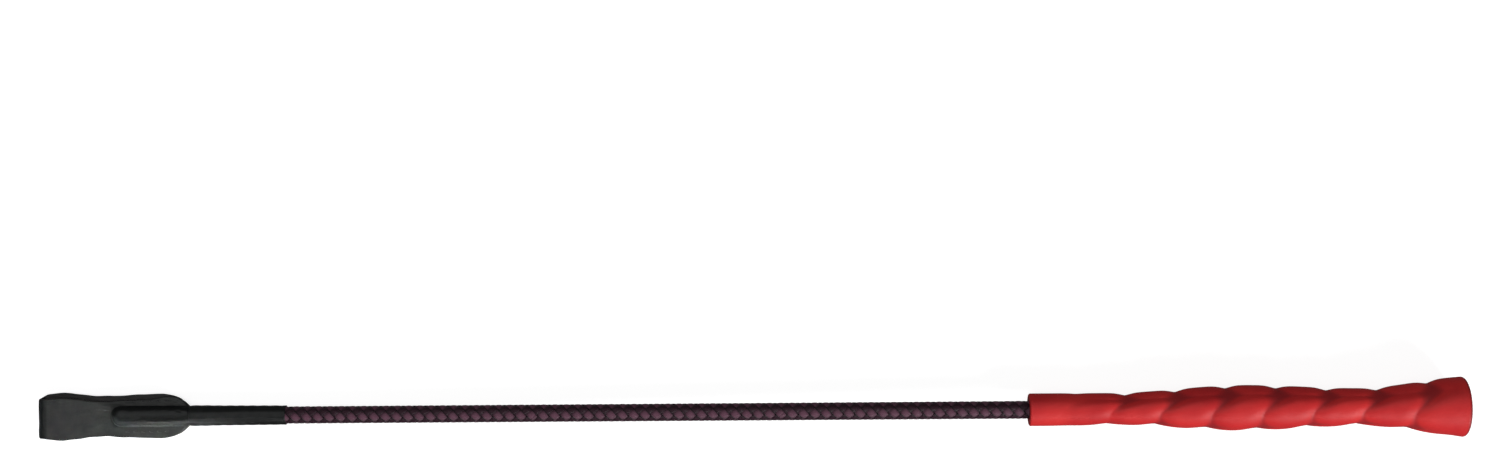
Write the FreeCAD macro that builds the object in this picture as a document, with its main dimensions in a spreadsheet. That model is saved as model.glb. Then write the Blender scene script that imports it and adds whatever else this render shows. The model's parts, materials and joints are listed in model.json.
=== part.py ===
import FreeCAD, Part
import math
import os

import Sketcher
from FreeCAD import Placement, Rotation, Vector

# A riding crop lying on a table. Every piece is drawn in the crop's own frame: X runs along
# the rod from the free end of the keeper (X = 0) to the butt, and the rod's axis is Z = 0.
# One placement, shared by all pieces, then lays the crop down on Z = 0.
# Lengths are millimetres. "Station" means a place along the rod.

DIMENSIONS = {
    # whole crop
    "total_length": 650.0,
    "butt_radius": 13.5,
    # core rod, a slim cone
    "rod_start": 40.0,
    "rod_end": 560.0,
    "rod_tip_radius": 1.6,
    "rod_butt_radius": 3.0,
    "bond_gap": 0.05,
    "end_gap": 0.2,
    "thread_gap": 0.02,
    # padding and braid round the rod
    "padding_radius": 3.3,
    "padding_inset": 3.0,
    "braid_tip_radius": 3.95,
    "braid_butt_radius": 4.1,
    "braid_start": 92.0,
    "braid_end": 470.0,
    "braid_tied_radius": 2.6,
    "braid_tie_length": 7.5,
    "braid_swell_length": 5.5,
    # lines where the shaft bends
    "flex_gap": 1.4,
    # thread whippings
    "front_whipping_start": 93.0,
    "front_whipping_radius": 3.3,
    "rear_whipping_start": 461.0,
    "rear_whipping_radius": 4.5,
    "whipping_length": 6.0,
    # cap on the thin end of the rod
    "cap_start": 36.5,
    "cap_end": 90.0,
    "cap_radius": 3.1,
    "cap_rounding": 1.2,
    "cap_end_wall": 3.3,
    # shrink sleeve
    "sleeve_start": 69.8,
    "sleeve_end": 113.8,
    "sleeve_front_radius": 4.78,
    "sleeve_rear_radius": 4.45,
    "sleeve_throat_radius": 3.4,
    "sleeve_throat_start": 80.4,
    "sleeve_throat_end": 100.0,
    "sleeve_swell_length": 5.0,
    # keeper
    "leather_thickness": 1.6,
    "fold_radius": 3.3,
    "hinge_station": 30.0,
    "knuckle_radius": 1.7,
    "knuckle_clearance": 0.3,
    "loop_gap_end": 22.0,
    "flap_corner_station": 4.5,
    "flap_wide_station": 11.0,
    "flap_end_half_width": 8.6,
    "flap_corner_half_width": 10.3,
    "flap_half_width": 10.75,
    "waist_half_width": 9.25,
    "pocket_wide_station": 56.0,
    "pocket_half_width": 10.2,
    "pocket_end": 69.6,
    "pocket_end_half_width": 4.8,
    "pocket_end_arc": 14.8,
    "ridge_slope_start": 33.2,
    "ridge_start": 37.8,
    "ridge_radius": 4.78,
    "ridge_underside": 4.36,
    "tail_radius": 4.2,
    "tail_end": 80.0,
    # stitching beside the rod
    "stitch_length": 2.4,
    "stitch_radius": 0.3,
    "stitch_row_offset": 7.0,
    # grip
    "grip_mouth": 452.6,
    "mouth_radius": 7.4,
    "mouth_rounding": 0.8,
    "collar_end": 491.0,
    "crest_station": 548.0,
    "crest_radius": 10.4,
    "waist_station": 604.0,
    "waist_radius": 8.6,
    "rim_rounding": 1.5,
    "lip_rounding": 0.9,
    "mouth_bore_radius": 4.15,
    "mouth_bore_end": 460.0,
    "core_start": 474.0,
    "core_neck_radius": 4.8,
    "core_neck_end": 500.0,
    "core_crest_radius": 7.0,
    "core_waist_radius": 5.3,
    "core_end": 640.0,
    "core_end_radius": 9.4,
    # stone in the butt
    "recess_radius": 9.9,
    "seat_end": 646.2,
    "seat_apex": 642.2,
    "foil_thickness": 0.15,
    "stone_radius": 9.4,
    "stone_tip_radius": 0.3,
    "stone_gap": 0.3,
    "stone_girdle": 646.6,
    "stone_girdle_height": 0.8,
    "stone_top": 649.7,
    "glue_height": 0.9,
}

SPANS = ("tip", "front", "rear", "handle")
STITCH_STATIONS = [40.0 + 3.6 * step for step in range(6)]
STONE_FACETS = 16


def add_derived_dimensions(values):
    """Work out the stations and radii that follow from the driving dimensions."""
    shaft = values["grip_mouth"] - values["sleeve_end"]
    bends = len(SPANS) - 1
    for index in range(bends):
        station = values["sleeve_end"] + shaft * (index + 0.5) / bends
        values["flex_%s" % SPANS[index + 1]] = station

    edges = [values["rod_start"]]
    for span in SPANS[1:]:
        edges.append(values["flex_" + span] - values["flex_gap"] / 2)
        edges.append(values["flex_" + span] + values["flex_gap"] / 2)
    edges.append(values["rod_end"])
    for span, start, end in zip(SPANS, edges[0::2], edges[1::2]):
        values[span + "_start"] = start
        values[span + "_end"] = end

    values["braid_tie_end"] = values["braid_start"] + values["braid_tie_length"]
    values["padding_start"] = values["braid_tie_end"] + values["braid_swell_length"]
    values["padding_end"] = values["braid_end"] - values["padding_inset"]
    values["padding_bore_radius"] = values["padding_radius"] + values["bond_gap"]
    for name in ("front_whipping", "rear_whipping"):
        values[name + "_end"] = values[name + "_start"] + values["whipping_length"]
    values["front_whipping_bore"] = values["braid_tied_radius"] + values["bond_gap"]
    values["rear_whipping_bore"] = values["braid_butt_radius"] + values["thread_gap"]

    values["cap_face_radius"] = values["cap_radius"] - values["cap_rounding"]
    values["cap_shoulder"] = values["cap_start"] + values["cap_rounding"]
    values["cap_bore_start"] = values["cap_start"] + values["cap_end_wall"]
    values["tail_bore_radius"] = values["cap_radius"] + values["bond_gap"]
    values["sleeve_tail_bore"] = values["tail_radius"] + values["bond_gap"]
    values["sleeve_braid_bore"] = values["braid_tip_radius"] + 2 * values["bond_gap"]
    values["sleeve_swell_end"] = values["sleeve_throat_end"] + values["sleeve_swell_length"]

    values["pocket_start"] = values["hinge_station"] + values["knuckle_radius"] + values["knuckle_clearance"]
    values["pocket_thickness"] = 2 * values["leather_thickness"]
    values["pocket_bore_start"] = values["cap_start"] - values["end_gap"]
    values["knuckle_end"] = values["hinge_station"] + values["knuckle_radius"]
    fold_to_hinge = values["hinge_station"] - values["fold_radius"]
    sine = (values["fold_radius"] - values["knuckle_radius"]) / fold_to_hinge
    cosine = math.sqrt(1 - sine * sine)
    values["fold_tangent_station"] = values["fold_radius"] * (1 + sine)
    values["fold_tangent_height"] = values["fold_radius"] * cosine
    values["knuckle_tangent_station"] = values["hinge_station"] + values["knuckle_radius"] * sine
    values["knuckle_tangent_height"] = values["knuckle_radius"] * cosine
    values["fold_inner_radius"] = values["fold_radius"] - values["leather_thickness"]

    values["mouth_shoulder"] = values["grip_mouth"] + values["mouth_rounding"]
    values["mouth_face_radius"] = values["mouth_radius"] - values["mouth_rounding"]
    ogees = (("swell", "collar_end", "mouth_radius", "crest_station", "crest_radius"),
             ("fall", "crest_station", "crest_radius", "waist_station", "waist_radius"))
    for name, from_station, from_radius, to_station, to_radius in ogees:
        run = values[to_station] - values[from_station]
        rise = abs(values[to_radius] - values[from_radius])
        values[name + "_middle_station"] = (values[to_station] + values[from_station]) / 2
        values[name + "_middle_radius"] = (values[to_radius] + values[from_radius]) / 2
        values[name + "_arc"] = (run * run + rise * rise) / (4 * rise)
    values["rim_station"] = values["total_length"] - values["rim_rounding"]
    run = values["rim_station"] - values["waist_station"]
    rise = values["butt_radius"] - values["waist_radius"]
    values["flare_arc"] = (run * run + rise * rise) / (2 * rise)
    values["rim_face_radius"] = values["butt_radius"] - values["rim_rounding"]
    values["lip_face_radius"] = values["recess_radius"] + values["lip_rounding"]
    values["lip_station"] = values["total_length"] - values["lip_rounding"]
    values["mouth_counterbore"] = values["rear_whipping_radius"] + values["bond_gap"]
    values["core_cavity_start"] = values["core_start"] - values["bond_gap"]
    for name in ("core_neck", "core_crest", "core_waist", "core_end"):
        values[name + "_cavity"] = values[name + "_radius"] + values["bond_gap"]
    values["core_bore_end"] = values["rod_end"] + values["end_gap"]

    values["seat_start"] = values["core_end"] + values["bond_gap"]
    values["seat_radius"] = values["recess_radius"] - values["bond_gap"]
    values["foil_apex"] = values["seat_apex"] + values["bond_gap"]
    values["foil_apex_front"] = values["foil_apex"] + values["foil_thickness"]
    values["foil_rim"] = values["seat_end"] + values["bond_gap"]
    values["foil_rim_front"] = values["foil_rim"] + values["foil_thickness"]
    values["stone_back"] = values["foil_apex_front"] + values["stone_gap"]
    values["stone_girdle_front"] = values["stone_girdle"] + values["stone_girdle_height"]
    values["glue_start"] = values["foil_rim_front"] + values["bond_gap"]
    values["glue_end"] = values["glue_start"] + values["glue_height"]
    values["glue_bore"] = values["stone_radius"] + values["bond_gap"]


def taper(values, station, first, last, first_radius, last_radius):
    """Radius at a station of a straight taper between two stations."""
    share = (values[station] - values[first]) / (values[last] - values[first])
    return values[first_radius] + share * (values[last_radius] - values[first_radius])


def rod_radius(values, station):
    return taper(values, station, "rod_start", "rod_end", "rod_tip_radius", "rod_butt_radius")


def braid_radius(values, station):
    return taper(values, station, "sleeve_end", "grip_mouth", "braid_tip_radius", "braid_butt_radius")


def add_tapered_radii(values):
    """Radii of the rod, of the bores round it and of the braid, wherever a piece begins or ends."""
    span_ends = [span + edge for span in SPANS for edge in ("_start", "_end")]
    for station in span_ends:
        values["rod_at_" + station] = rod_radius(values, station)
    at_bends = span_ends[1:-1]
    bored = ["cap_bore_start", "cap_end", "braid_start", "braid_tie_end", "padding_start",
             "padding_end", "core_start", "core_bore_end"]
    for station in bored + at_bends:
        values["bore_at_" + station] = rod_radius(values, station) + values["bond_gap"]
    for station in ["padding_start", "braid_end"] + at_bends:
        values["braid_at_" + station] = braid_radius(values, station)


def fill_sheet(doc, values):
    """Keep every dimension in the sheet, one named cell each."""
    sheet = doc.addObject("Spreadsheet::Sheet", "Dimensions")
    for row, (name, number) in enumerate(values.items(), start=1):
        sheet.set("A%d" % row, name)
        sheet.set("B%d" % row, "%.6f" % number)
        sheet.setAlias("B%d" % row, name)
    doc.recompute()
    return sheet


class Workshop:
    """The document with its sheet, and the few ways in which pieces are made."""

    def __init__(self, doc, values):
        self.doc = doc
        self.values = values
        self.pieces = []

    def keep(self, piece, label):
        piece.Label = label
        self.pieces.append(piece)
        return piece

    def bind(self, item, prop, name, factor=""):
        item.setExpression(prop, "%sDimensions.%s" % (factor, name))

    def number(self, name):
        """Value of a coordinate: None is zero, and a leading minus sign turns it round."""
        if name is None:
            return 0.0
        if name.startswith("-"):
            return -self.values[name[1:]]
        return self.values[name]

    def hold_point(self, sketch, geometry, end, point):
        """Tie a sketch point to its two named coordinates."""
        across, along = point
        if across is None and along is None:
            sketch.addConstraint(Sketcher.Constraint("Coincident", geometry, end, -1, 1))
            return
        for kind, name, axis in (("DistanceX", across, -2), ("DistanceY", along, -1)):
            if name is None:
                sketch.addConstraint(Sketcher.Constraint("PointOnObject", geometry, end, axis))
                continue
            reach = abs(self.number(name))
            if name.startswith("-"):
                rule = Sketcher.Constraint(kind, geometry, end, -1, 1, reach)
            else:
                rule = Sketcher.Constraint(kind, -1, 1, geometry, end, reach)
            index = sketch.addConstraint(rule)
            sketch.setExpression("Constraints[%d]" % index, "Dimensions." + name.lstrip("-"))

    def edge(self, start, end, bend):
        """A straight edge, or an arc of a named radius that bends left (+1) or right (-1)."""
        first = Vector(self.number(start[0]), self.number(start[1]), 0)
        last = Vector(self.number(end[0]), self.number(end[1]), 0)
        if bend is None:
            return Part.LineSegment(first, last)
        radius = self.values[bend[0]]
        chord = last - first
        left = Vector(-chord.y, chord.x, 0).normalize()
        middle = (first + last) * 0.5
        to_centre = math.sqrt(max(radius ** 2 - (chord.Length / 2) ** 2, 0.0))
        crown = middle - left * (bend[1] * (radius - to_centre))
        return Part.Arc(first, crown, last)

    def draw(self, sketch, outline):
        """Draw one closed outline: (across, along) or (across, along, (radius, bend to next))."""
        base = sketch.GeometryCount
        ends = []
        count = len(outline)
        for index, vertex in enumerate(outline):
            follower = outline[(index + 1) % count]
            bend = vertex[2] if len(vertex) > 2 else None
            geometry = sketch.addGeometry(self.edge(vertex[:2], follower[:2], bend))
            start = Vector(self.number(vertex[0]), self.number(vertex[1]), 0)
            nearer = sketch.getPoint(geometry, 1).distanceToPoint(start)
            farther = sketch.getPoint(geometry, 2).distanceToPoint(start)
            ends.append((1, 2) if nearer < farther else (2, 1))
        for index, vertex in enumerate(outline):
            follower = (index + 1) % count
            sketch.addConstraint(Sketcher.Constraint(
                "Coincident", base + index, ends[index][1], base + follower, ends[follower][0]))
            self.hold_point(sketch, base + index, ends[index][0], vertex[:2])
            if len(vertex) > 2:
                radius = vertex[2][0]
                rule = sketch.addConstraint(Sketcher.Constraint(
                    "Radius", base + index, self.values[radius]))
                sketch.setExpression("Constraints[%d]" % rule, "Dimensions." + radius)

    def body_sketch(self, body, role, outline):
        sketch = body.newObject("Sketcher::SketchObject", body.Name + "_sketch")
        plane = [item for item in body.Origin.OriginFeatures if item.Role == role][0]
        sketch.AttachmentSupport = [(plane, "")]
        sketch.MapMode = "FlatFace"
        self.draw(sketch, outline)
        return sketch

    def turn(self, body, outline, kind="Revolution"):
        """Turn an outline in the XZ plane about the rod's axis, to add or to cut."""
        sketch = self.body_sketch(body, "XZ_Plane", outline)
        feature = body.newObject("PartDesign::" + kind, body.Name + "_" + kind.lower())
        feature.Profile = sketch
        feature.ReferenceAxis = (sketch, ["H_Axis"])
        feature.Angle = 360
        body.Tip = feature
        return feature

    def turned(self, label, outline):
        body = self.doc.addObject("PartDesign::Body", label)
        self.turn(body, outline)
        return self.keep(body, label)

    def free_sketch(self, name, rotation, *outlines):
        sketch = self.doc.addObject("Sketcher::SketchObject", name)
        sketch.Placement = Placement(Vector(), rotation)
        for outline in outlines:
            self.draw(sketch, outline)
        return sketch

    def extrusion(self, name, sketch, depth, factor=""):
        """Extrude a sketch to both sides of its plane."""
        solid = self.doc.addObject("Part::Extrusion", name)
        solid.Base = sketch
        solid.DirMode = "Normal"
        solid.Solid = True
        solid.Symmetric = True
        self.bind(solid, "LengthFwd", depth, factor)
        return solid


def mirrored(outline):
    """An outline drawn on one side of the X axis, closed by its mirror image."""
    return outline + [(across, "-" + along) for across, along, *_ in reversed(outline)]


def make_shaft(shop):
    """Rod, padding and braid, each in four spans that meet at the three lines of bending."""
    for span in SPANS:
        start, end = span + "_start", span + "_end"
        shop.turned("core_rod_" + span, [
            (start, None), (start, "rod_at_" + start), (end, "rod_at_" + end), (end, None)])

    for span in SPANS:
        start = "padding_start" if span == "tip" else span + "_start"
        end = "padding_end" if span == "handle" else span + "_end"
        shop.turned("shaft_padding_" + span, [
            (start, "bore_at_" + start), (start, "padding_radius"),
            (end, "padding_radius"), (end, "bore_at_" + end)])

    shop.turned("braided_cover_tip", [
        ("braid_start", "bore_at_braid_start"), ("braid_start", "braid_tied_radius"),
        ("braid_tie_end", "braid_tied_radius"), ("padding_start", "braid_at_padding_start"),
        ("tip_end", "braid_at_tip_end"), ("tip_end", "padding_bore_radius"),
        ("padding_start", "padding_bore_radius"), ("braid_tie_end", "bore_at_braid_tie_end")])
    for span in SPANS[1:]:
        start = span + "_start"
        end = "braid_end" if span == "handle" else span + "_end"
        shop.turned("braided_cover_" + span, [
            (start, "padding_bore_radius"), (start, "braid_at_" + start),
            (end, "braid_at_" + end), (end, "padding_bore_radius")])


def make_whippings(shop):
    for place in ("front", "rear"):
        name = place + "_whipping"
        shop.turned("thread_whipping_" + place, [
            (name + "_start", name + "_bore"), (name + "_start", name + "_radius"),
            (name + "_end", name + "_radius"), (name + "_end", name + "_bore")])


def make_rod_tip_cap(shop):
    shop.turned("rod_tip_cap", [
        ("cap_start", None), ("cap_start", "cap_face_radius", ("cap_rounding", -1)),
        ("cap_shoulder", "cap_radius"), ("cap_end", "cap_radius"),
        ("cap_end", "bore_at_cap_end"), ("cap_bore_start", "bore_at_cap_bore_start"),
        ("cap_bore_start", None)])


def make_tip_sleeve(shop):
    shop.turned("tip_sleeve", [
        ("sleeve_start", "sleeve_tail_bore"), ("sleeve_start", "sleeve_front_radius"),
        ("sleeve_end", "sleeve_rear_radius"), ("sleeve_end", "sleeve_braid_bore"),
        ("sleeve_swell_end", "sleeve_braid_bore"), ("sleeve_throat_end", "sleeve_throat_radius"),
        ("sleeve_throat_start", "sleeve_throat_radius"), ("sleeve_throat_start", "sleeve_tail_bore")])


def make_keeper_pocket(shop):
    """The fixed part of the leather: two layers closed round the end of the rod, flat underneath."""
    body = shop.doc.addObject("PartDesign::Body", "pocket_leather")
    side = [
        ("pocket_start", "waist_half_width"),
        ("pocket_wide_station", "pocket_half_width"),
        ("pocket_end", "pocket_end_half_width")]
    outline = mirrored(side)
    outline[1] = outline[1] + (("pocket_end_arc", -1),)
    outline[3] = outline[3] + (("pocket_end_arc", -1),)
    pad = body.newObject("PartDesign::Pad", "flanges")
    pad.Profile = shop.body_sketch(body, "XY_Plane", outline)
    pad.Midplane = True
    shop.bind(pad, "Length", "pocket_thickness")
    body.Tip = pad

    shop.turn(body, [
        ("ridge_slope_start", None), ("ridge_slope_start", "knuckle_radius"),
        ("ridge_start", "ridge_radius"), ("pocket_end", "ridge_radius"),
        ("pocket_end", "tail_radius"), ("tail_end", "tail_radius"), ("tail_end", None)])
    shop.doc.recompute()
    before = body.Shape.Volume
    shop.turn(body, [
        ("pocket_bore_start", None), ("pocket_bore_start", "tail_bore_radius"),
        ("tail_end", "tail_bore_radius"), ("tail_end", None)], "Groove")
    shop.doc.recompute()
    if body.Shape.Volume >= before:
        raise RuntimeError("the rod's bore was not cut from the keeper pocket")

    worn_off = shop.doc.addObject("Part::Box", "pocket_worn_off")
    shop.bind(worn_off, "Length", "tail_end")
    shop.bind(worn_off, "Width", "ridge_radius", "2 * ")
    shop.bind(worn_off, "Height", "ridge_radius")
    below = shop.values["ridge_underside"] + shop.values["ridge_radius"]
    worn_off.Placement = Placement(Vector(0, -shop.values["ridge_radius"], -below), Rotation())
    pocket = shop.doc.addObject("Part::Cut", "keeper_pocket")
    pocket.Base = body
    pocket.Tool = worn_off
    shop.keep(pocket, "keeper_pocket")


def make_keeper_flap(shop):
    """The free part of the leather: a folded loop with a round knuckle on the line of bending."""
    side_view = [
        (None, None, ("fold_radius", -1)),
        ("fold_tangent_station", "fold_tangent_height"),
        ("knuckle_tangent_station", "knuckle_tangent_height", ("knuckle_radius", -1)),
        ("knuckle_end", None, ("knuckle_radius", -1)),
        ("knuckle_tangent_station", "-knuckle_tangent_height"),
        ("fold_tangent_station", "-fold_tangent_height", ("fold_radius", -1))]
    loop_gap = [
        ("leather_thickness", None, ("fold_inner_radius", -1)),
        ("fold_radius", "fold_inner_radius"),
        ("loop_gap_end", None),
        ("fold_radius", "-fold_inner_radius", ("fold_inner_radius", -1))]
    plan_view = mirrored([
        (None, "flap_end_half_width"), ("flap_corner_station", "flap_corner_half_width"),
        ("flap_wide_station", "flap_half_width"), ("pocket_start", "waist_half_width")])
    side = shop.free_sketch("flap_side_sketch", Rotation(Vector(1, 0, 0), 90), side_view, loop_gap)
    plan = shop.free_sketch("flap_plan_sketch", Rotation(), plan_view)
    flap = shop.doc.addObject("Part::MultiCommon", "keeper_flap")
    flap.Shapes = [
        shop.extrusion("flap_side", side, "flap_half_width", "4 * "),
        shop.extrusion("flap_plan", plan, "fold_radius", "4 * ")]
    shop.keep(flap, "keeper_flap")


def make_stitching(shop):
    """Two rows of thread beside the rod, each seen on both faces of the leather."""
    height = shop.values["leather_thickness"] + shop.values["stitch_radius"] + shop.values["thread_gap"]
    for side, row in ((1, "left"), (-1, "right")):
        stitches = []
        for face in (1, -1):
            for station in STITCH_STATIONS:
                stitch = shop.doc.addObject("Part::Cylinder", "stitch")
                shop.bind(stitch, "Radius", "stitch_radius")
                shop.bind(stitch, "Height", "stitch_length")
                corner = Vector(station, side * shop.values["stitch_row_offset"], face * height)
                stitch.Placement = Placement(corner, Rotation(Vector(0, 1, 0), 90))
                stitches.append(stitch)
        seam = shop.doc.addObject("Part::Compound", "stitch_row_" + row)
        seam.Links = stitches
        shop.keep(seam, "keeper_stitching_" + row)


def make_grip(shop):
    shop.turned("grip_sleeve", [
        ("grip_mouth", "mouth_bore_radius"),
        ("grip_mouth", "mouth_face_radius", ("mouth_rounding", -1)),
        ("mouth_shoulder", "mouth_radius"),
        ("collar_end", "mouth_radius", ("swell_arc", 1)),
        ("swell_middle_station", "swell_middle_radius", ("swell_arc", -1)),
        ("crest_station", "crest_radius", ("fall_arc", -1)),
        ("fall_middle_station", "fall_middle_radius", ("fall_arc", 1)),
        ("waist_station", "waist_radius", ("flare_arc", 1)),
        ("rim_station", "butt_radius", ("rim_rounding", -1)),
        ("total_length", "rim_face_radius"),
        ("total_length", "lip_face_radius", ("lip_rounding", 1)),
        ("lip_station", "recess_radius"),
        ("core_end", "recess_radius"), ("core_end", "core_end_cavity"),
        ("waist_station", "core_waist_cavity"), ("crest_station", "core_crest_cavity"),
        ("core_neck_end", "core_neck_cavity"), ("core_cavity_start", "core_neck_cavity"),
        ("core_cavity_start", "mouth_counterbore"), ("mouth_bore_end", "mouth_counterbore"),
        ("mouth_bore_end", "mouth_bore_radius")])
    shop.turned("grip_core", [
        ("core_start", "bore_at_core_start"), ("core_start", "core_neck_radius"),
        ("core_neck_end", "core_neck_radius"), ("crest_station", "core_crest_radius"),
        ("waist_station", "core_waist_radius"), ("core_end", "core_end_radius"),
        ("core_end", None), ("core_bore_end", None), ("core_bore_end", "bore_at_core_bore_end")])


def make_stone_setting(shop):
    shop.turned("stone_seat", [
        ("seat_start", None), ("seat_start", "seat_radius"), ("seat_end", "seat_radius"),
        ("seat_end", "stone_radius"), ("seat_apex", None)])
    shop.turned("foil_cup", [
        ("foil_apex", None), ("foil_rim", "stone_radius"),
        ("foil_rim_front", "stone_radius"), ("foil_apex_front", None)])
    shop.turned("glue_ring", [
        ("glue_start", "glue_bore"), ("glue_start", "seat_radius"),
        ("glue_end", "seat_radius"), ("glue_end", "glue_bore")])

    rings = []
    for station, radius in (("stone_back", "stone_tip_radius"), ("stone_girdle", "stone_radius"),
                            ("stone_girdle_front", "stone_radius"), ("stone_top", "stone_tip_radius")):
        ring = shop.doc.addObject("Part::RegularPolygon", "ring_" + station)
        ring.Polygon = STONE_FACETS
        shop.bind(ring, "Circumradius", radius)
        ring.Placement = Placement(Vector(shop.values[station], 0, 0), Rotation(Vector(0, 1, 0), 90))
        rings.append(ring)
    stone = shop.doc.addObject("Part::Loft", "crystal")
    stone.Sections = rings
    stone.Solid = True
    stone.Ruled = True
    shop.keep(stone, "crystal")


def rest_tilt(values):
    """Angle that brings both the butt's rim and the leather under the rod's tip to the table."""
    run = values["rim_station"] - values["ridge_start"]
    rise = values["rim_face_radius"] - values["ridge_underside"]
    return math.asin(values["rim_rounding"] / math.hypot(run, rise)) + math.atan2(rise, run)


def rest_placement(shop):
    """Lay the crop down: tilt it, then bring the middle of its box's base to the origin."""
    turn = Rotation(Vector(0, 1, 0), -math.degrees(rest_tilt(shop.values)))
    box = FreeCAD.BoundBox()
    for piece in shop.pieces:
        shape = piece.Shape.copy()
        shape.Placement = Placement(Vector(), turn)
        box.add(shape.optimalBoundingBox(False))
    return Placement(Vector(-box.Center.x, -box.Center.y, -box.ZMin), turn)


def check(shop):
    """Stop if anything failed to recompute or any piece has no sound shape."""
    for item in shop.doc.Objects:
        if "Invalid" in item.State or "Error" in item.State:
            raise RuntimeError("%s did not recompute: %s" % (item.Name, item.State))
    for piece in shop.pieces:
        if piece.Shape.isNull() or not piece.Shape.isValid() or not piece.Shape.Solids:
            raise RuntimeError(piece.Label + " has no valid solid")


def report_places(shop, place):
    """Print the joint lines and mount points in the placed frame, in metres."""
    for name in ("hinge_station", "flex_front", "flex_rear", "flex_handle", "grip_mouth",
                 "collar_end", "total_length"):
        spot = place.multVec(Vector(shop.values[name], 0, 0)) * 0.001
        print("%-14s %.6f %.6f %.6f" % (name, spot.x, spot.y, spot.z))
    axis = place.Rotation.multVec(Vector(1, 0, 0))
    print("rod axis       %.6f %.6f %.6f" % (axis.x, axis.y, axis.z))


def main():
    values = dict(DIMENSIONS)
    add_derived_dimensions(values)
    add_tapered_radii(values)
    doc = FreeCAD.newDocument("RidingCrop")
    fill_sheet(doc, values)
    shop = Workshop(doc, values)
    make_shaft(shop)
    make_whippings(shop)
    make_rod_tip_cap(shop)
    make_tip_sleeve(shop)
    make_keeper_pocket(shop)
    make_keeper_flap(shop)
    make_stitching(shop)
    make_grip(shop)
    make_stone_setting(shop)
    doc.recompute()
    check(shop)

    place = rest_placement(shop)
    for piece in shop.pieces:
        piece.Placement = place
    doc.recompute()
    check(shop)
    os.makedirs("parts", exist_ok=True)
    for piece in shop.pieces:
        piece.Shape.exportStep(os.path.join("parts", piece.Label + ".step"))
    report_places(shop, place)


main()
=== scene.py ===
import json
import math
import random

import bmesh
import bpy
import numpy as np
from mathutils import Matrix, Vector, noise


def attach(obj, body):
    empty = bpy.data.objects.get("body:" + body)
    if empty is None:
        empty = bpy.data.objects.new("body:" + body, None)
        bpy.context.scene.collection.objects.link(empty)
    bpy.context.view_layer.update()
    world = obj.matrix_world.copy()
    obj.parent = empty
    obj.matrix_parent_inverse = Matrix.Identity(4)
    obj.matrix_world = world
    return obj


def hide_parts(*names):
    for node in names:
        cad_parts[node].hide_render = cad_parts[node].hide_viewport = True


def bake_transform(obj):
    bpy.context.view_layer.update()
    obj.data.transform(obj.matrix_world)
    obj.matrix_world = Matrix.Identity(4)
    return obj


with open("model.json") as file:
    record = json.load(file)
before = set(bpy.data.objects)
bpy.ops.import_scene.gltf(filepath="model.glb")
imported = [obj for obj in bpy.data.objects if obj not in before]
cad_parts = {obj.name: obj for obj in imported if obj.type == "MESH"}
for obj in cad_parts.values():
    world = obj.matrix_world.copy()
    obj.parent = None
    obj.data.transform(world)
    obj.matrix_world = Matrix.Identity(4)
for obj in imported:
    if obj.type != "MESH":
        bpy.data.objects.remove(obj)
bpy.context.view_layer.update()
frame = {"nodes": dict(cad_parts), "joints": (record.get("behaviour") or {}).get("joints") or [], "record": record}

# A riding crop. Lengths are in millimetres and stations count along the rod from the keeper's
# folded end, as far as place() turns them into metres in the frame.

MM = 0.001
ACROSS = np.array([0.0, 1.0, 0.0])


def joint_point(name):
    """The point that a joint turns about, in the frame."""
    return np.array(next(j["pos_m"] for j in frame["joints"] if j["name"] == name))


def vertices_of(node):
    """A CAD node's vertices, one per row, in the frame."""
    return np.array([v.co for v in frame["nodes"][node].data.vertices])


ROD_AXIS = joint_point("shaft_flex_butt") - joint_point("keeper_flex")
ROD_AXIS /= np.linalg.norm(ROD_AXIS)
UP = np.cross(ROD_AXIS, ACROSS)
TIP = joint_point("keeper_flex")
TIP = TIP + ROD_AXIS * ((vertices_of("keeper_flap") - TIP) @ ROD_AXIS).min()


def place(station, across, up):
    """Points in the frame from crop coordinates in millimetres. Arrays or numbers."""
    parts = np.broadcast_arrays(station, across, up)
    local = np.stack([np.asarray(p, float) for p in parts], axis=-1) * MM
    return TIP + local @ np.array([ROD_AXIS, ACROSS, UP])


def reach(node):
    """First and last station of a CAD node."""
    stations = (vertices_of(node) - TIP) @ ROD_AXIS / MM
    return stations.min(), stations.max()


def girth(node):
    """Largest radius of a CAD node about the rod's axis."""
    offset = vertices_of(node) - TIP
    return np.hypot(offset @ ACROSS, offset @ UP).max() / MM


def joint_station(name):
    """The station of a joint."""
    return float((joint_point(name) - TIP) @ ROD_AXIS / MM)


def smooth(x):
    """0 below 0, 1 above 1 and a soft step between."""
    x = np.clip(x, 0.0, 1.0)
    return x * x * (3.0 - 2.0 * x)


def eased(stations, knots):
    """Soft steps from one (station, value) knot to the next."""
    stations = np.asarray(stations, float)
    value = np.full(stations.shape, float(knots[0][1]))
    for (start, low), (end, high) in zip(knots, knots[1:]):
        value += (high - low) * smooth((stations - start) / (end - start))
    return value


def curved(stations, knots):
    """A curve through (station, value) knots that doesn't pause at each one."""
    x, y = np.array(knots, float).T
    slope = np.gradient(y, x)
    stations = np.clip(np.asarray(stations, float), x[0], x[-1])
    i = np.clip(np.searchsorted(x, stations, side="right") - 1, 0, len(x) - 2)
    span = x[i + 1] - x[i]
    t = (stations - x[i]) / span
    return ((2 * t**3 - 3 * t**2 + 1) * y[i] + (t**3 - 2 * t**2 + t) * span * slope[i]
            + (3 * t**2 - 2 * t**3) * y[i + 1] + (t**3 - t**2) * span * slope[i + 1])


def rough(points, scale, seed=0.0):
    """Smooth noise from -1 to 1 at points given in millimetres, with bumps about scale wide."""
    shape = points.shape[:-1]
    flat = points.reshape(-1, 3) / scale + seed
    return np.array([noise.noise(Vector(p)) for p in flat]).reshape(shape)


# ---------------------------------------------------------------- meshes


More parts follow.
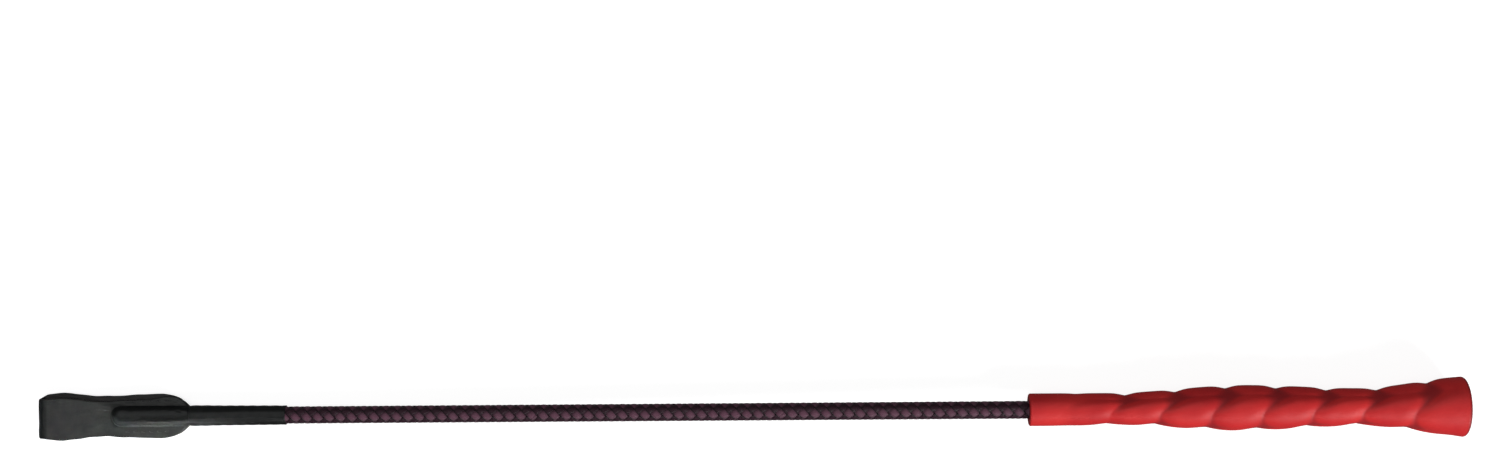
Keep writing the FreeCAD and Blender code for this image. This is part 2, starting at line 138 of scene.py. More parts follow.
class Skin:
    """Grids of points gathered into one mesh."""

    def __init__(self, name):
        self.name = name
        self.points, self.faces, self.uvs, self.slots = [], [], [], []
        self.count = 0
        self.marks = []

    def grid(self, points, uv, around=False, along=False, capped=False, slot=0, mark=None):
        """Adds rows x columns points in the frame. around joins the last column to the first, along
        the last row to the first, and capped closes both ends. uv has one more row or column where
        the grid is joined, and mark is one number per point for the material."""
        rows, columns = points.shape[:2]
        ids = np.arange(rows * columns).reshape(rows, columns) + self.count
        for i in range(rows if along else rows - 1):
            below = (i + 1) % rows
            for j in range(columns if around else columns - 1):
                side = (j + 1) % columns
                self.faces.append((ids[i, j], ids[i, side], ids[below, side], ids[below, j]))
                self.uvs.extend((uv[i, j], uv[i, j + 1], uv[i + 1, j + 1], uv[i + 1, j]))
                self.slots.append(slot)
        if capped:
            for i in (0, rows - 1):
                self.faces.append(tuple(ids[i]))
                self.uvs.extend(uv[i, :columns])
                self.slots.append(slot)
        self.points.append(points.reshape(-1, 3))
        self.marks.append(np.zeros(rows * columns) if mark is None else np.ravel(mark))
        self.count += rows * columns

    def piece(self, slot, materials):
        """The mesh object, with its materials. The slot argument is not used."""
        mesh = bpy.data.meshes.new(self.name)
        faces = [tuple(int(v) for v in face) for face in self.faces]
        mesh.from_pydata(np.concatenate(self.points).tolist(), [], faces)
        layer = mesh.uv_layers.new(name="UVMap")
        layer.data.foreach_set("uv", np.array(self.uvs, np.float32).ravel())
        for material in materials:
            mesh.materials.append(material)
        mesh.polygons.foreach_set("material_index", self.slots)
        mesh.polygons.foreach_set("use_smooth", [True] * len(mesh.polygons))
        attribute = mesh.attributes.new("mark", "FLOAT", "POINT")
        attribute.data.foreach_set("value", np.concatenate(self.marks).astype(np.float32))
        work = bmesh.new()
        work.from_mesh(mesh)
        bmesh.ops.recalc_face_normals(work, faces=work.faces)
        work.to_mesh(mesh)
        work.free()
        made = bpy.data.objects.new(self.name, mesh)
        bpy.context.scene.collection.objects.link(made)
        return made


def arc(centre_station, centre_radius, radius, start, end, steps):
    """Points of an arc in the (station, radius) plane, angles in degrees from the rod's direction."""
    angles = np.radians(np.linspace(start, end, steps + 1))
    return [(centre_station + radius * math.cos(a), centre_radius + radius * math.sin(a))
            for a in angles]


def turned(skin, profile, segments, ripple=None, closed=True):
    """Adds a profile of (station, radius) points turned about the rod. ripple(station, angle) is
    added to the radius, with the angle from the top towards the near side."""
    profile = np.array(profile, float)
    angles = np.linspace(0.0, 2.0 * math.pi, segments, endpoint=False)
    station, angle = np.meshgrid(profile[:, 0], angles, indexing="ij")
    radius = np.repeat(profile[:, 1:], segments, axis=1)
    if ripple is not None:
        radius = radius + ripple(station, angle)
    points = place(station, -radius * np.sin(angle), radius * np.cos(angle))
    steps = np.hypot(*np.diff(profile, axis=0, append=profile[:1]).T)
    length = np.concatenate([[0.0], np.cumsum(steps)])
    turn = np.linspace(0.0, 2.0 * math.pi, segments + 1) * profile[:, 1].mean()
    uv = np.stack(np.meshgrid(length, turn, indexing="ij"), axis=-1)
    skin.grid(points, uv, around=True, along=closed, capped=not closed)


# ---------------------------------------------------------------- materials


EVEN = (1.0, 1.0, 1.0)


class Finish:
    """A node material: the Principled shader and what feeds it."""

    def __init__(self, name, **values):
        self.material = bpy.data.materials.new(name)
        self.material.use_nodes = True
        self.tree = self.material.node_tree
        self.shader = self.tree.nodes["Principled BSDF"]
        self.places = self.tree.nodes.new("ShaderNodeTexCoord")
        for label, value in values.items():
            self.shader.inputs[label.replace("_", " ")].default_value = value

    def node(self, kind, inputs=None, **settings):
        """A node with its settings, and its inputs linked to sockets or set to values."""
        made = self.tree.nodes.new(kind)
        for label, value in settings.items():
            setattr(made, label, value)
        for label, value in (inputs or {}).items():
            if isinstance(value, bpy.types.NodeSocket):
                self.tree.links.new(value, made.inputs[label])
            else:
                made.inputs[label].default_value = value
        return made

    def stretched(self, source, scale):
        """Texture coordinates multiplied by scale, from "Object" in metres or "UV" in millimetres."""
        made = self.node("ShaderNodeMapping", {"Vector": self.places.outputs[source], "Scale": scale})
        return made.outputs["Vector"]

    def speckle(self, scale, detail=3.0, source="Object", stretch=EVEN):
        """Noise from 0 to 1."""
        made = self.node("ShaderNodeTexNoise", {
            "Vector": self.stretched(source, stretch), "Scale": scale, "Detail": detail})
        return made.outputs["Fac"]

    def pebbles(self, scale, source):
        """Rounded cells, 0 at the middle of each."""
        made = self.node("ShaderNodeTexVoronoi", {
            "Vector": self.stretched(source, EVEN), "Scale": scale}, feature="SMOOTH_F1")
        return made.outputs["Distance"]

    def stripes(self, scale, direction, source, distortion):
        """Soft bands from 0 to 1."""
        made = self.node("ShaderNodeTexWave", {
            "Vector": self.stretched(source, EVEN), "Scale": scale, "Distortion": distortion,
            "Detail": 1.0}, wave_type="BANDS", bands_direction=direction)
        return made.outputs["Fac"]

    def mark(self):
        """The number that each point of the mesh carries for its material."""
        return self.node("ShaderNodeAttribute", attribute_name="mark").outputs["Fac"]

    def ramp(self, factor, stops):
        """A colour ramp of (position, colour) stops."""
        made = self.node("ShaderNodeValToRGB", {"Fac": factor})
        elements = made.color_ramp.elements
        while len(elements) < len(stops):
            elements.new(0.5)
        for element, (position, colour) in zip(elements, stops):
            element.position = position
            element.color = (*colour, 1.0)
        return made.outputs["Color"]

    def graded(self, factor, low, high, span=(0.0, 1.0)):
        """factor over its span spread from low to high."""
        made = self.node("ShaderNodeMapRange", {
            "Value": factor, "From Min": span[0], "From Max": span[1], "To Min": low, "To Max": high})
        return made.outputs["Result"]

    def mixed(self, a, b, factor):
        """Colours a and b blended."""
        made = self.node("ShaderNodeMix", data_type="RGBA", blend_type="MIX")
        for index, value in ((0, factor), (6, a), (7, b)):
            if isinstance(value, bpy.types.NodeSocket):
                self.tree.links.new(value, made.inputs[index])
            else:
                made.inputs[index].default_value = value if index == 0 else (*value, 1.0)
        return made.outputs[2]

    def feed(self, label, socket):
        """Links a socket to an input of the shader."""
        self.tree.links.new(socket, self.shader.inputs[label])

    def bumps(self, *layers):
        """Bump from (height, depth in metres) layers, one on the other."""
        normal = None
        for height, depth in layers:
            inputs = {"Height": height, "Distance": depth, "Strength": 1.0}
            if normal is not None:
                inputs["Normal"] = normal
            normal = self.node("ShaderNodeBump", inputs).outputs["Normal"]
        self.feed("Normal", normal)


def red_rubber():
    finish = Finish("red_rubber", Specular_IOR_Level=0.22)
    cloud = finish.speckle(60.0, 4.0)
    base = finish.ramp(cloud, [(0.3, (0.45, 0.014, 0.017)), (0.7, (0.56, 0.023, 0.023))])
    # Painted shade: where the mark is low, in the valleys between the domes and at the butt's rim, the red is
    # mixed towards (0.16, 0.008, 0.012).
    shaded_rubber = finish.mixed((0.16, 0.008, 0.012), base, finish.mark())
    finish.feed("Base Color", shaded_rubber)
    finish.feed("Roughness", finish.graded(finish.speckle(900.0, 2.0), 0.42, 0.6))
    finish.bumps((finish.speckle(2600.0, 2.0), 0.00005), (finish.speckle(260.0, 3.0), 0.00012))
    return finish.material


def black_leather():
    finish = Finish("black_leather")
    cloud = finish.speckle(0.16, 4.0, "UV")
    base = finish.ramp(cloud, [(0.3, (0.005, 0.006, 0.006)), (0.75, (0.013, 0.015, 0.014))])
    cut_edge = finish.ramp(finish.mark(), [(0.35, (0.0, 0.0, 0.0)), (0.8, (1.0, 1.0, 1.0))])
    # Below 0 the mark stands for the ridge's polish and, round the fold, for painted shade: both get the darker
    # colour (0.003, 0.004, 0.004), a lower roughness and less specular.
    polish_and_shade = finish.graded(finish.mark(), 0.0, 1.0, (0.0, -1.0))
    rubbed_and_shaded = finish.mixed(base, (0.003, 0.004, 0.004), polish_and_shade)
    finish.feed("Base Color", finish.mixed(rubbed_and_shaded, (0.006, 0.005, 0.005), cut_edge))
    grainy = finish.graded(finish.speckle(0.5, 3.0, "UV"), 0.36, 0.58)
    finish.feed("Roughness", finish.mixed(grainy, (0.3, 0.3, 0.3), polish_and_shade))
    finish.feed("Specular IOR Level", finish.graded(polish_and_shade, 0.36, 0.22))
    grain = finish.pebbles(1.5, "UV")
    creases = finish.speckle(0.55, 4.0, "UV", (0.35, 1.0, 1.0))
    finish.bumps((grain, 0.00006), (creases, 0.0003))
    return finish.material


def thread(name, dark, light, sheen):
    """Satin thread: fine yarns side by side along each strand, with a painted highlight on the crowns and painted
    shade at the sides and where a strand dips under another.
    """
    finish = Finish(name, Roughness=0.45, Sheen_Weight=sheen, Sheen_Roughness=0.45,
                    Specular_IOR_Level=0.18)
    yarns = finish.stripes(0.62, "X", "UV", 0.35)
    fuzz = finish.speckle(2.2, 3.0, "UV", (1.0, 0.25, 1.0))
    yarn_pattern = finish.mixed(yarns, fuzz, 0.5)
    # The mark mixed in here is the painted highlight on the crowns and the painted shade at the sides.
    tone = finish.mixed(yarn_pattern, finish.mark(), 0.62)
    finish.feed("Base Color", finish.ramp(tone, [(0.25, dark), (0.85, light)]))
    finish.bumps((yarns, 0.00009), (fuzz, 0.00004))
    return finish.material


def shrink_sleeve():
    finish = Finish("shrink_sleeve", Specular_IOR_Level=0.2)
    finish.feed("Base Color", finish.ramp(
        finish.speckle(300.0, 3.0), [(0.3, (0.004, 0.005, 0.005)), (0.8, (0.010, 0.011, 0.011))]))
    finish.feed("Roughness", finish.graded(finish.speckle(500.0, 2.0), 0.34, 0.5))
    finish.bumps((finish.speckle(200.0, 2.0, "Object", (0.15, 1.0, 1.0)), 0.00003))
    return finish.material


def plain_plastic(name, dark, light, roughness):
    finish = Finish(name, Specular_IOR_Level=0.5)
    finish.feed("Base Color", finish.ramp(finish.speckle(240.0, 4.0), [(0.3, dark), (0.75, light)]))
    finish.feed("Roughness", finish.graded(
        finish.speckle(700.0, 2.0), roughness - 0.06, roughness + 0.08))
    finish.bumps((finish.speckle(1600.0, 2.0), 0.00003))
    return finish.material


def wound_thread(name, dark, light):
    """Waxed thread wound round and round."""
    finish = Finish(name, Roughness=0.5, Sheen_Weight=0.3)
    turns = finish.stripes(330.0, "X", "Object", 0.2)
    finish.feed("Base Color", finish.ramp(turns, [(0.2, dark), (0.9, light)]))
    finish.bumps((turns, 0.0001))
    return finish.material


def glass_fibre():
    finish = Finish("fibreglass_rod", Roughness=0.35, Specular_IOR_Level=0.5)
    fibres = finish.speckle(1.1, 4.0, "UV", (0.05, 4.0, 1.0))
    finish.feed("Base Color", finish.ramp(
        fibres, [(0.3, (0.42, 0.44, 0.33)), (0.7, (0.62, 0.64, 0.5))]))
    finish.bumps((fibres, 0.00003))
    return finish.material


def filler_yarn():
    finish = Finish("yarn_padding", Roughness=0.85, Sheen_Weight=0.3)
    plies = finish.stripes(0.3, "DIAGONAL", "UV", 1.5)
    finish.feed("Base Color", finish.ramp(
        plies, [(0.1, (0.035, 0.032, 0.034)), (0.9, (0.075, 0.07, 0.072))]))
    finish.bumps((plies, 0.0002))
    return finish.material


def mirror_foil():
    finish = Finish("mirror_foil", Metallic=1.0, Roughness=0.12)
    finish.feed("Base Color", finish.ramp(
        finish.speckle(400.0, 3.0), [(0.3, (0.72, 0.73, 0.75)), (0.7, (0.86, 0.87, 0.88))]))
    finish.bumps((finish.speckle(500.0, 2.0), 0.00004))
    return finish.material


def clear_glue():
    finish = Finish("clear_glue", Roughness=0.14, IOR=1.48, Transmission_Weight=0.75)
    finish.feed("Base Color", finish.ramp(
        finish.speckle(500.0, 2.0), [(0.3, (0.80, 0.62, 0.60)), (0.7, (0.92, 0.80, 0.78))]))
    finish.bumps((finish.speckle(700.0, 2.0), 0.00004))
    return finish.material


def coated_crystal(centre, radius):
    """Cut glass with a rainbow coating, whose colour runs across the stone and steps at each facet."""
    finish = Finish("coated_crystal", Metallic=0.55, Specular_IOR_Level=0.9, Coat_Weight=1.0,
                    Coat_Roughness=0.02, Roughness=0.08)
    shift = finish.node("ShaderNodeVectorMath", {
        0: finish.places.outputs["Object"], 1: tuple(centre)}, operation="SUBTRACT")
    slope = (0.0, 0.5 * math.sqrt(0.5) / radius, -0.5 * math.sqrt(0.5) / radius)
    across = finish.node("ShaderNodeVectorMath", {
        0: shift.outputs["Vector"], 1: slope}, operation="DOT_PRODUCT")
    tone = finish.node("ShaderNodeMath", {
        0: across.outputs["Value"], 1: finish.mark()}, operation="ADD")
    ripple = finish.node("ShaderNodeMath", {
        0: tone.outputs["Value"], 1: finish.graded(finish.speckle(240.0, 2.0), -0.08, 0.08)},
        operation="ADD")
    finish.feed("Base Color", finish.ramp(ripple.outputs["Value"], [
        (0.02, (0.30, 0.62, 0.36)), (0.2, (0.52, 0.74, 0.22)), (0.36, (0.86, 0.72, 0.12)),
        (0.5, (0.90, 0.42, 0.16)), (0.64, (0.86, 0.20, 0.42)), (0.8, (0.42, 0.16, 0.62)),
        (0.96, (0.14, 0.24, 0.72))]))
    return finish.material


def pale_floor():
    finish = Finish("pale_floor", Roughness=0.9, Specular_IOR_Level=0.1,
                    Emission_Color=(1.0, 1.0, 1.0, 1.0), Emission_Strength=0.78)
    finish.feed("Base Color", finish.ramp(
        finish.speckle(3.0, 2.0), [(0.3, (0.50, 0.50, 0.50)), (0.7, (0.53, 0.53, 0.53))]))
    return finish.material


# ---------------------------------------------------------------- grip

GRIP_START, GRIP_END = reach("grip_sleeve")
MOUTH_RADIUS = next(m["dims"]["r_mm"] for m in frame["record"]["mounts"]
                    if m["name"] == "grip_collar")
BUTT_RADIUS = girth("grip_sleeve")
STONE_RADIUS = girth("crystal")
RECESS_RADIUS = STONE_RADIUS + 0.5
CORE_START, CORE_END = reach("grip_core")
BRAID_END = reach("braided_cover_handle")[1]
BRAID_BUTT_RADIUS = girth("braided_cover_handle")

COLLAR_END = 491.0
CREST_STATION, CREST_RADIUS = 549.5, 10.5
WAIST_STATION, WAIST_RADIUS = 603.0, 8.7
DOME_PITCH = 22.8
DOMES_ROUND = 3
DOME_DEPTH = 1.6
DOME_STATION = 545.5
DOME_TURN = math.radians(16.0)
DOME_LEAN, DOME_SWAY, DOME_NUDGE = -0.25, 1.5, 2.4
DOME_REACH, DOME_FULLNESS = 0.455, 4.4
DOME_ROUNDNESS = 0.86
RIM, LIP, MOUTH_LIP = 1.5, 0.9, 0.8
RIM_STEPS, LIP_STEPS = 8, 6
GRIP_ROWS, GRIP_SEGMENTS = 391, 168
CORE_NECK_RADIUS, CORE_CREST_RADIUS, CORE_WAIST_RADIUS, CORE_END_RADIUS = 4.8, 7.0, 5.3, 9.4
CORE_NECK_END, CORE_CREST_STATION, CORE_WAIST_STATION = 500.0, 548.0, 604.0
MOUTH_BORE_END = 460.0


def grip_radius(station):
    """Radius over the crowns of the domes."""
    return eased(station, [(COLLAR_END, MOUTH_RADIUS), (CREST_STATION, CREST_RADIUS),
                           (WAIST_STATION, WAIST_RADIUS), (GRIP_END + 4.0, BUTT_RADIUS + 0.35)])


def dome(station, angle):
    """1 on the crowns of the round domes and near 0 between them."""
    turn = DOMES_ROUND * (angle - DOME_TURN) / (2.0 * math.pi)
    lean = turn + DOME_SWAY * np.sin(2.0 * math.pi * (turn - DOME_LEAN)) / (2.0 * math.pi)
    along = (station - DOME_STATION - DOME_NUDGE) / DOME_PITCH + lean / DOMES_ROUND
    from_crown = np.hypot(along - np.round(along), DOME_ROUNDNESS * (turn - np.round(turn)))
    return np.exp(-((from_crown / DOME_REACH) ** DOME_FULLNESS))


def dome_strength(station):
    """The pattern fades out towards the collar and into the flare."""
    return smooth((station - 460.0) / 44.0) * smooth((651.0 - station) / 17.0)


def make_grip(materials):
    """The rubber sleeve: its outside with the domes, the recess, and the bore round the core."""
    stations = np.linspace(GRIP_START + MOUTH_LIP, GRIP_END - RIM, GRIP_ROWS)
    outside = [(s, float(grip_radius(s))) for s in stations]
    rim_radius = outside[-1][1]
    profile = arc(GRIP_START + MOUTH_LIP, MOUTH_RADIUS - MOUTH_LIP, MOUTH_LIP,
                  180.0, 90.0, LIP_STEPS)[:-1]
    profile += outside
    profile += arc(GRIP_END - RIM, rim_radius - RIM, RIM, 90.0, 0.0, RIM_STEPS)[1:]
    profile += arc(GRIP_END - LIP, RECESS_RADIUS + LIP, LIP, 0.0, -90.0, LIP_STEPS)
    profile += [(CORE_END, RECESS_RADIUS), (CORE_END, CORE_END_RADIUS)]
    bore = np.linspace(CORE_END - 1.0, CORE_START, 40)
    bore_radius = eased(bore, [
        (CORE_START, CORE_NECK_RADIUS), (CORE_NECK_END, CORE_NECK_RADIUS),
        (CORE_CREST_STATION, CORE_CREST_RADIUS), (CORE_WAIST_STATION, CORE_WAIST_RADIUS),
        (CORE_END, CORE_END_RADIUS)])
    profile += [(s, float(r)) for s, r in zip(bore, bore_radius)]
    wide, tight = BRAID_BUTT_RADIUS + 0.45, BRAID_BUTT_RADIUS + 0.03
    profile += [(CORE_START - 0.5, wide), (MOUTH_BORE_END + 0.5, wide),
                (MOUTH_BORE_END, tight), (GRIP_START, tight)]
    profile = np.array(profile)
    is_outside = np.zeros(len(profile), bool)
    is_outside[:LIP_STEPS + len(outside) + RIM_STEPS] = True

    def ripple(station, angle):
        strength = DOME_DEPTH * dome_strength(station) * is_outside[:, None]
        sway = 0.06 * np.sin(angle + station / 37.0) * is_outside[:, None] * smooth((station - 470) / 20)
        return strength * (dome(station, angle) - 1.0) + sway

    skin = Skin("grip_rubber")
    turned(skin, profile, GRIP_SEGMENTS, ripple)
    angles = np.linspace(0.0, 2.0 * math.pi, GRIP_SEGMENTS, endpoint=False)
    station, angle = np.meshgrid(profile[:, 0], angles, indexing="ij")
    # Painted shade: the mark is 0.35 in the valleys between the domes and falls to 0.15 of itself at the butt's
    # rim, so the rubber is coloured darker there.
    height = 1.0 - dome_strength(station) * (1.0 - dome(station, angle)) * is_outside[:, None]
    painted_rim_shade = 0.85 * smooth((station - GRIP_END + 1.8) / 1.1)
    skin.marks = [((0.35 + 0.65 * smooth(height * 2.0)) * (1.0 - painted_rim_shade)).ravel()]
    grip = skin.piece("red_rubber", [materials["red_rubber"]])
    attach(grip, "handle")
    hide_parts("grip_sleeve")


# ---------------------------------------------------------------- stone


STONE_CUTS = 16
GIRDLE, GIRDLE_HEIGHT = 646.6, 0.8
KITE_RADIUS = 5.7
STONE_MIDDLE = 648.0
STONE_TONE = 0.13


def make_stone(materials):
    """A pointed round stone: kites up to the apex, triangles down to the girdle, the same below."""
    cuts = STONE_CUTS
    start, end = reach("crystal")

    def crown(base, apex):
        """(station, radius, turn) of the corners of one side, from the apex to the girdle."""
        share = KITE_RADIUS * math.cos(math.pi / cuts) / STONE_RADIUS
        kites = [(base + (apex - base) * (1.0 - share), KITE_RADIUS, i + 0.5) for i in range(cuts)]
        edge = [(base, STONE_RADIUS, float(i)) for i in range(cuts)]
        return [(apex, 0.0, 0.0)] + kites + edge

    rows = crown(GIRDLE + GIRDLE_HEIGHT, end) + crown(GIRDLE, start)
    points = [place(s, -r * math.sin(2 * math.pi * a / cuts), r * math.cos(2 * math.pi * a / cuts))
              for s, r, a in rows]
    faces = []
    half = 1 + 2 * cuts
    for offset, flip in ((0, False), (half, True)):
        for i in range(cuts):
            kite, before = offset + 1 + i, offset + 1 + (i - 1) % cuts
            edge, after = offset + 1 + cuts + i, offset + 1 + cuts + (i + 1) % cuts
            pair = [(offset, before, edge, kite), (kite, edge, after)]
            faces += [face[::-1] for face in pair] if flip else pair
    for i in range(cuts):
        upper, next_upper = 1 + cuts + i, 1 + cuts + (i + 1) % cuts
        faces.append((upper, upper + half, next_upper + half, next_upper))
    mesh = bpy.data.meshes.new("rainbow_stone")
    mesh.from_pydata([tuple(p) for p in points], [], faces)
    mesh.materials.append(materials["coated_crystal"])
    random.seed(5)
    tones = mesh.attributes.new("mark", "FLOAT", "FACE")
    tones.data.foreach_set("value", [0.5 + random.uniform(-STONE_TONE, STONE_TONE) for _ in faces])
    stone = bpy.data.objects.new("rainbow_stone", mesh)
    bpy.context.scene.collection.objects.link(stone)
    work = bmesh.new()
    work.from_mesh(mesh)
    bmesh.ops.recalc_face_normals(work, faces=work.faces)
    work.to_mesh(mesh)
    work.free()
    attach(stone, "handle")
    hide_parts("crystal")


# ---------------------------------------------------------------- shaft

BLEND_REACH = 50.0
SPLITS = (227.0, 340.0)
BENDS = [("shaft_flex_tip", "shaft_front", "shaft_tip"),
         ("shaft_flex_middle", "shaft_rear", "shaft_front"),
         ("shaft_flex_butt", "handle", "shaft_rear")]
SPAN_NAMES = ("tip", "middle", "butt")

BRAID_LEAD = 20.6
STRANDS_EACH_WAY = 4
STRAND_THICKNESS = 0.42
STRAND_SWING = 0.24
BRAID_TURN = math.radians(14.0)
SECTION = [(-0.47, -0.3), (-0.42, 0.42), (-0.3, 0.78), (-0.15, 0.95), (0.0, 1.0), (0.15, 0.95),
           (0.3, 0.78), (0.42, 0.42), (0.47, -0.3), (0.2, -0.6), (-0.2, -0.6)]
BRAID_START = 97.0
BRAID_TIP_RADIUS = 4.02
BRAID_MIDDLE_RADIUS = 3.6
STRAND_UV_WIDTH = 3.4
ROWS_PER_CROSSING = 8.0
ROD_TIP_RADIUS = 1.6
PADDING_START = 105.0
PADDING_RADIUS, PADDING_TAPER = 2.95, 0.1
CORE_ROW_LENGTH = 3.0


def spans(start, end):
    """(name, first station, last station, bend) of each stretch of the shaft between the splits."""
    edges = (start, *SPLITS, end)
    return list(zip(SPAN_NAMES, edges, edges[1:], BENDS))


def bend(piece, joint):
    """Bakes the piece's placement into its mesh; the joint is only looked up."""
    centre = joint_station(joint)
    place(centre + BLEND_REACH, 0.0, 0.0)
    place(centre - BLEND_REACH, 0.0, 0.0)
    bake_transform(piece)


def braid_radius(station):
    """Radius over the crowns of the braid, drawn in where it is tied under the sleeve."""
    full = BRAID_TIP_RADIUS + (BRAID_BUTT_RADIUS + 0.05 - BRAID_TIP_RADIUS) * (
        (station - BRAID_START) / (BRAID_END - BRAID_START))
    return full - 0.8 * smooth((104.0 - station) / 6.0)


def strand(skin, index, direction, start, end, finish):
    """One strand of the braid. Its sections carry on unbroken from one stretch to the next."""
    step = BRAID_LEAD / (2 * STRANDS_EACH_WAY) / ROWS_PER_CROSSING
    whole = np.arange(BRAID_START, BRAID_END + step, step)
    middle = whole[(whole > start - step / 2) & (whole < end + step / 2)]
    across = np.array([c for c, _ in SECTION])
    lift = np.array([h for _, h in SECTION])
    # the strand's own count of windings stays at its index, and the count of the strands that
    # run the other way gives the crossing
    spacing = BRAID_LEAD / STRANDS_EACH_WAY
    slope = 2.0 * math.pi * BRAID_MIDDLE_RADIUS / BRAID_LEAD
    tilt = 1.0 / (1.0 + slope * slope)
    centre, offset = np.meshgrid(middle, across * spacing, indexing="ij")
    station = centre + offset * (1.0 - tilt)
    angle = direction * (2.0 * math.pi * (centre / BRAID_LEAD + index / STRANDS_EACH_WAY)
                         - 2.0 * math.pi * offset * tilt / BRAID_LEAD) + BRAID_TURN
    other = STRANDS_EACH_WAY * (
        station / BRAID_LEAD + direction * (angle - BRAID_TURN) / (2.0 * math.pi))
    parity = index if direction > 0 else index + 1
    swing = np.cos(math.pi * (other + parity))
    swing = np.sign(swing) * np.abs(swing) ** 0.7
    top = braid_radius(station)
    radius = (top - STRAND_THICKNESS - STRAND_SWING + STRAND_SWING * swing
              + STRAND_THICKNESS * np.repeat(lift[None, :], len(middle), axis=0))
    points = place(station, -radius * np.sin(angle), radius * np.cos(angle))
    length = middle / math.cos(math.atan(slope))
    width = np.append(across, across[0] + 1.0) * STRAND_UV_WIDTH
    uv = np.stack(np.meshgrid(length, width, indexing="ij"), axis=-1)[..., ::-1]
    # Painted highlight and shade: the mark is high on the top of a strand where it passes over, and low at its
    # sides and where it dips under.
    crown = np.clip((swing * 0.5 + 0.5) * (0.35 + 0.65 * np.clip(lift, 0.0, 1.0)), 0.0, 1.0)
    skin.grid(points, uv, around=True, capped=True, slot=finish, mark=crown)


def make_braid(materials):
    stands_for = {"tip": ["braided_cover_tip"], "middle": ["braided_cover_front"],
                  "butt": ["braided_cover_rear", "braided_cover_handle"]}
    for name, start, end, (joint, still, moving) in spans(BRAID_START, BRAID_END):
        skin = Skin("braid_" + name)
        for index in range(STRANDS_EACH_WAY):
            strand(skin, index, 1, start, end, 0)
            strand(skin, index, -1, start, end, 1)
        braid = skin.piece("thread_braid", [materials["plum_thread"], materials["black_thread"]])
        bend(braid, joint)
        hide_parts(*stands_for[name])


def make_core(name, first, last, radius_of, segments, slot, material, replaced):
    """A solid inside the braid, in one piece per stretch."""
    for part, start, end, (joint, still, moving) in spans(first, last):
        skin = Skin(name + "_" + part)
        stations = np.linspace(start, end, int((end - start) / CORE_ROW_LENGTH) + 1)
        turned(skin, [(s, float(radius_of(s))) for s in stations], segments, closed=False)
        core = skin.piece(slot, [material])
        bend(core, joint)
        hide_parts(*replaced[part])


def make_rod(materials):
    first, last = reach("core_rod_tip")[0], reach("core_rod_handle")[1]
    thin, thick = ROD_TIP_RADIUS, girth("core_rod_handle")

    def radius_of(station):
        return thin + (thick - thin) * (station - first) / (last - first)

    make_core("core_rod_whole", first, last, radius_of, 20, "fibreglass_rod",
              materials["fibreglass_rod"],
              {"tip": ["core_rod_tip"], "middle": ["core_rod_front"],
               "butt": ["core_rod_rear", "core_rod_handle"]})


def make_padding(materials):
    first, last = PADDING_START, reach("shaft_padding_handle")[1]

    def radius_of(station):
        return PADDING_RADIUS + PADDING_TAPER * smooth((station - first) / (last - first))

    make_core("padding_whole", first, last, radius_of, 24, "yarn_padding", materials["yarn_padding"],
              {"tip": ["shaft_padding_tip"], "middle": ["shaft_padding_front"],
               "butt": ["shaft_padding_rear", "shaft_padding_handle"]})


# ---------------------------------------------------------------- tip sleeve


SLEEVE_REAR_RADIUS, SLEEVE_WALL = 4.45, 0.3
SLEEVE_BORE = [(102.0, 4.05), (99.0, 3.4), (81.0, 3.4)]
# angle from the top in degrees, width in radians and height of each pleat
SLEEVE_PLEATS = [(8.0, 0.11, 0.16), (38.0, 0.13, 0.14), (-24.0, 0.12, 0.10), (71.0, 0.12, 0.12),
                 (-62.0, 0.14, 0.12), (-105.0, 0.12, 0.14), (118.0, 0.13, 0.1), (164.0, 0.12, 0.14)]


def make_sleeve(materials):
    """The shrink sleeve over the keeper's tail, pleated along its length."""
    start, end = reach("tip_sleeve")
    front, rear, wall = girth("tip_sleeve"), SLEEVE_REAR_RADIUS, SLEEVE_WALL
    stations = np.linspace(start + wall, end - wall, 90)
    outside = [(s, float(eased(s, [(start, front), (start + 16.0, rear + 0.12), (end, rear)])))
               for s in stations]
    profile = arc(start + wall, outside[0][1] - wall, wall, 180.0, 90.0, 4)[:-1] + outside
    profile += arc(end - wall, outside[-1][1] - wall, wall, 90.0, 0.0, 4)[1:]
    outer = len(profile)
    profile += [(end - 0.1, 4.05), *SLEEVE_BORE, (start, 4.3)]
    pleats = [(math.radians(a), w, h) for a, w, h in SLEEVE_PLEATS]

    def ripple(station, angle):
        height = np.zeros(station.shape)
        for centre, width, lift in pleats:
            away = (angle - centre - 0.05 * np.sin(station / 9.0) + math.pi) % (2.0 * math.pi) - math.pi
            fade = 0.35 + 0.65 * smooth((station - start) / 8.0) * smooth((end - station) / 9.0)
            height += lift * fade * np.exp(-((away / width) ** 2))
        height += 0.05 * np.cos(4 * angle - station * 2 * math.pi / 5.2)
        height[outer:] = 0.0
        return height - 0.08 * (np.arange(len(station)) < outer)[:, None]

    skin = Skin("tip_shrink_sleeve")
    turned(skin, profile, 120, ripple)
    sleeve = skin.piece("shrink_sleeve", [materials["shrink_sleeve"]])
    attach(sleeve, "shaft_tip")
    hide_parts("tip_sleeve")


# ---------------------------------------------------------------- keeper

LEATHER = 1.6
FOLD_RADIUS = 3.3
KEEPER_END = reach("keeper_pocket")[1]
POCKET_END, POCKET_END_ARC = 69.6, 14.8
RIDGE_START, RIDGE_RADIUS, RIDGE_FLATNESS = 38.4, 4.78, 2.5
RIDGE_UNDERSIDE = 4.36
RIDGE_SHARPNESS = 1.3
TAIL_RADIUS = 4.2
LAYER_SHIFT = 2.2
RUN_ROWS, FOLD_STEPS, KEEPER_LANES = 150, 22, 69
LEAST_LEATHER = 0.35
KEEPER_BLEND_REACH = 5.5
STITCH_PITCH, STITCH_LENGTH, STITCH_COUNT, STITCH_START = 3.6, 2.4, 6, 40.0
STITCH_RADIUS, STITCH_RISE, STITCH_DEPTH = 0.28, 0.42, 0.28


